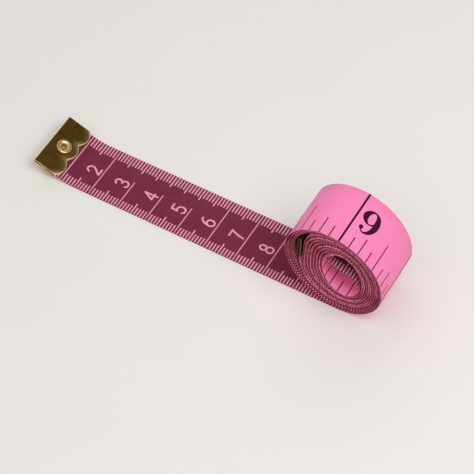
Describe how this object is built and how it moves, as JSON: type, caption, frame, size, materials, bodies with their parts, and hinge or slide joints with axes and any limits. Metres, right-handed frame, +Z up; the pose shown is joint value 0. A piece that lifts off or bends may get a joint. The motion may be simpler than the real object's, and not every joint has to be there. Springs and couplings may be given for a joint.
{
  "type": "cloth tape measure",
  "caption": "Soft sewing tape measure, partly rolled up, with a folded brass cap and eyelet on each end of the ribbon.",
  "frame": {"origin": "middle of the part's footprint, on the surface that the strip lies on", "axes": "+X along the laid-out strip from its zero end to the roll, +Y across the tape, +Z up"},
  "size_m": [0.1174, 0.0196, 0.0321],
  "materials": {
    "tape_cloth": "coated woven ribbon, satin, plum on one face and pink on the other",
    "brass": "stamped sheet, slightly worn"
  },
  "bodies": {
    "strip": {"tape_strip": "tape_cloth", "tape_turn_1": "tape_cloth"},
    "tail_inner": {"tape_tail_inner": "tape_cloth"},
    "tail_outer": {"tape_tail_outer": "tape_cloth"},
    "tip": {"tape_tip": "tape_cloth", "zero_end_cap": "brass", "zero_end_eyelet": "brass"},
    "turn_2": {"tape_turn_2": "tape_cloth"},
    "turn_3": {"tape_turn_3": "tape_cloth"},
    "turn_4": {"tape_turn_4": "tape_cloth"},
    "turn_5": {"tape_turn_5": "tape_cloth"},
    "turn_6": {"tape_turn_6": "tape_cloth"},
    "turn_7": {"tape_turn_7": "tape_cloth"},
    "turn_8": {"tape_turn_8": "tape_cloth"},
    "winding": {"tape_winding": "tape_cloth", "far_end_cap": "brass", "far_end_eyelet": "brass"}
  },
  "joints": [
    {"name": "tail_inner_bend", "type": "hinge", "parent": "strip", "child": "tail_inner", "pos_m": [0.00145, 0, 0.00042], "axis": [0, 1, 0], "range_deg": [0, 60]},
    {"name": "tail_outer_bend", "type": "hinge", "parent": "tail_inner", "child": "tail_outer", "pos_m": [-0.02255, 0, 0.00042], "axis": [0, 1, 0], "range_deg": [0, 60]},
    {"name": "tip_bend", "type": "hinge", "parent": "tail_outer", "child": "tip", "pos_m": [-0.04655, 0, 0.00042], "axis": [0, 1, 0], "range_deg": [-16, 60]},
    {"name": "roll_bend_1", "type": "hinge", "parent": "strip", "child": "turn_2", "pos_m": [0.05008, 0, 0.00114], "axis": [0, 1, 0], "range_deg": [0, 45]},
    {"name": "roll_bend_2", "type": "hinge", "parent": "turn_2", "child": "turn_3", "pos_m": [0.05764, 0, 0.00869], "axis": [0, 1, 0], "range_deg": [0, 45]},
    {"name": "roll_bend_3", "type": "hinge", "parent": "turn_3", "child": "turn_4", "pos_m": [0.05744, 0, 0.02092], "axis": [0, 1, 0], "range_deg": [0, 45]},
    {"name": "roll_bend_4", "type": "hinge", "parent": "turn_4", "child": "turn_5", "pos_m": [0.04751, 0, 0.03089], "axis": [0, 1, 0], "range_deg": [0, 45]},
    {"name": "roll_bend_5", "type": "hinge", "parent": "turn_5", "child": "turn_6", "pos_m": [0.03571, 0, 0.03109], "axis": [0, 1, 0], "range_deg": [0, 45]},
    {"name": "roll_bend_6", "type": "hinge", "parent": "turn_6", "child": "turn_7", "pos_m": [0.02852, 0, 0.02389], "axis": [0, 1, 0], "range_deg": [0, 45]},
    {"name": "roll_bend_7", "type": "hinge", "parent": "turn_7", "child": "turn_8", "pos_m": [0.02872, 0, 0.01195], "axis": [0, 1, 0], "range_deg": [0, 45]},
    {"name": "unroll", "type": "hinge", "parent": "turn_8", "child": "winding", "pos_m": [0.03842, 0, 0.0022], "axis": [0, 1, 0], "range_deg": [0, 45]}
  ],
  "couplings": [
    {"joint": "roll_bend_1", "follows": "unroll", "ratio": 1},
    {"joint": "roll_bend_2", "follows": "unroll", "ratio": 1},
    {"joint": "roll_bend_3", "follows": "unroll", "ratio": 1},
    {"joint": "roll_bend_4", "follows": "unroll", "ratio": 1},
    {"joint": "roll_bend_5", "follows": "unroll", "ratio": 1},
    {"joint": "roll_bend_6", "follows": "unroll", "ratio": 1},
    {"joint": "roll_bend_7", "follows": "unroll", "ratio": 1}
  ]
}
